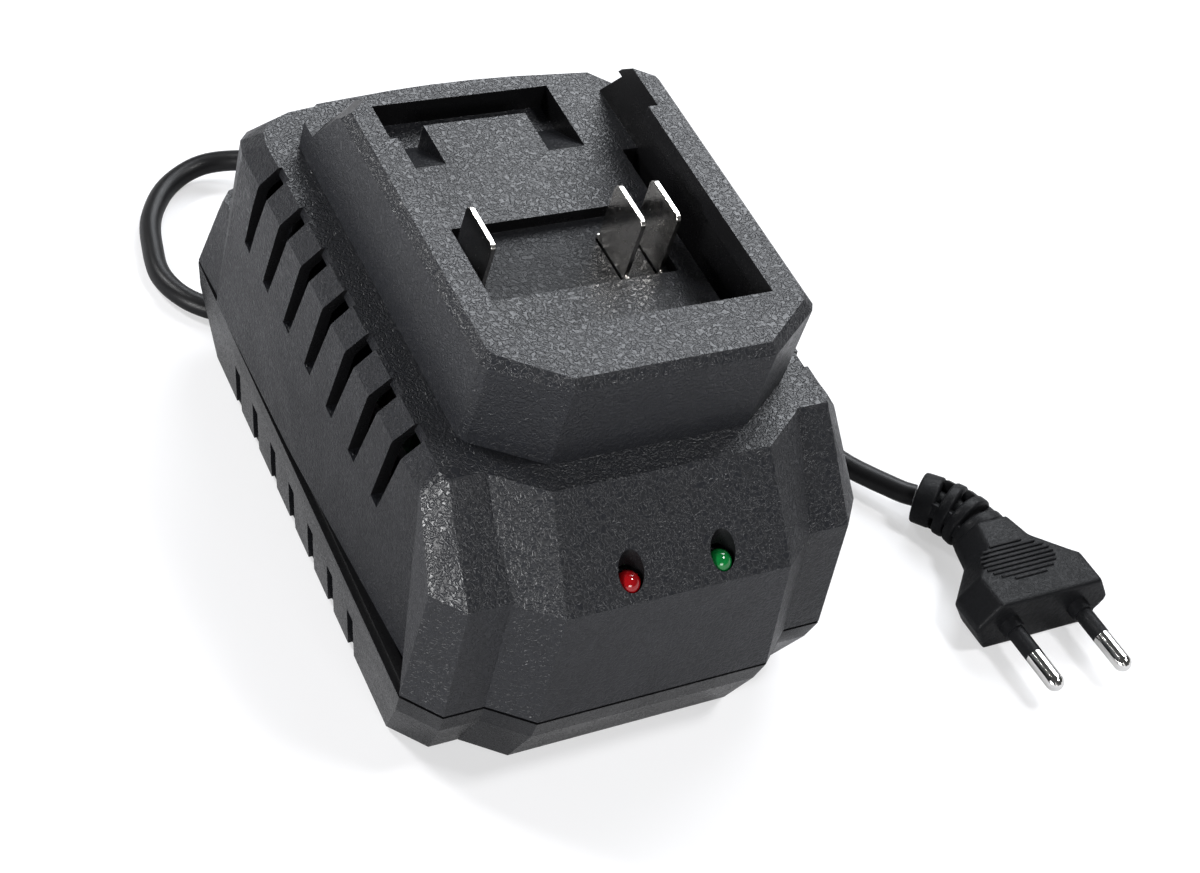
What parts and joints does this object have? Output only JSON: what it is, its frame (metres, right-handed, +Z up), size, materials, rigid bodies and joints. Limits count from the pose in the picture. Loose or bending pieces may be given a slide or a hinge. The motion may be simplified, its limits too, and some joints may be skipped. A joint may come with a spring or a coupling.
{
  "type": "power tool battery charger",
  "caption": "Two-part moulded charger with a slide-in battery dock, blade terminals, status lights, vented sides and a two-pin mains plug on a cord.",
  "frame": {"origin": "middle of the charger's body on the surface that its rubber feet stand on", "axes": "+Z up, -Y out of the front panel with the status lights, +Y out of the back where the cord leaves, +X to the right seen from the front, the side on which the plug lies"},
  "size_m": [0.1674, 0.2138, 0.091],
  "materials": {
    "case_plastic": "fine leather grain, charcoal",
    "dock_plastic": "fine leather grain, charcoal",
    "terminal_plastic": "smooth moulded",
    "nickel": "nickel plated sheet",
    "red_lens": "diffused epoxy lens",
    "green_lens": "diffused epoxy lens",
    "board_laminate": "glass-fibre laminate",
    "ferrite": "pressed ferrite",
    "winding_tape": "polyester tape",
    "capacitor_sleeve": "shrink sleeve",
    "enamelled_copper": "wound enamelled wire",
    "film_case": "moulded box",
    "heat_sink_metal": "extruded",
    "moulded_epoxy": "moulded",
    "fuse_case": "moulded",
    "screw_steel": "zinc plated",
    "foot_rubber": "moulded",
    "cord_sleeve": "satin",
    "cord_jacket": "satin jacket",
    "plug_plastic": "fine grain",
    "sleeve_plastic": "smooth",
    "pin_metal": "polished nickel"
  },
  "bodies": {
    "root": {"base_shell": "case_plastic", "top_cover": "case_plastic", "battery_dock": "dock_plastic", "terminal_block": "terminal_plastic", "blade_negative": "nickel", "blade_signal": "nickel", "blade_positive": "nickel", "red_light": "red_lens", "green_light": "green_lens", "light_board": "board_laminate", "circuit_board": "board_laminate", "transformer_core": "ferrite", "transformer_winding": "winding_tape", "input_capacitor": "capacitor_sleeve", "output_capacitors": "capacitor_sleeve", "mains_choke": "enamelled_copper", "noise_capacitor": "film_case", "heat_sink": "heat_sink_metal", "power_transistor": "moulded_epoxy", "mains_fuse": "fuse_case", "board_screws": "screw_steel", "case_screws": "screw_steel", "dock_screws": "screw_steel", "rubber_feet": "foot_rubber", "cord_gland": "cord_sleeve", "cord_loop": "cord_jacket", "cord_coil": "cord_jacket", "cord_lead": "cord_jacket", "plug_body": "plug_plastic", "plug_strain_relief": "plug_plastic", "pin_sleeves": "sleeve_plastic", "plug_pins": "pin_metal"}
  },
  "joints": []
}
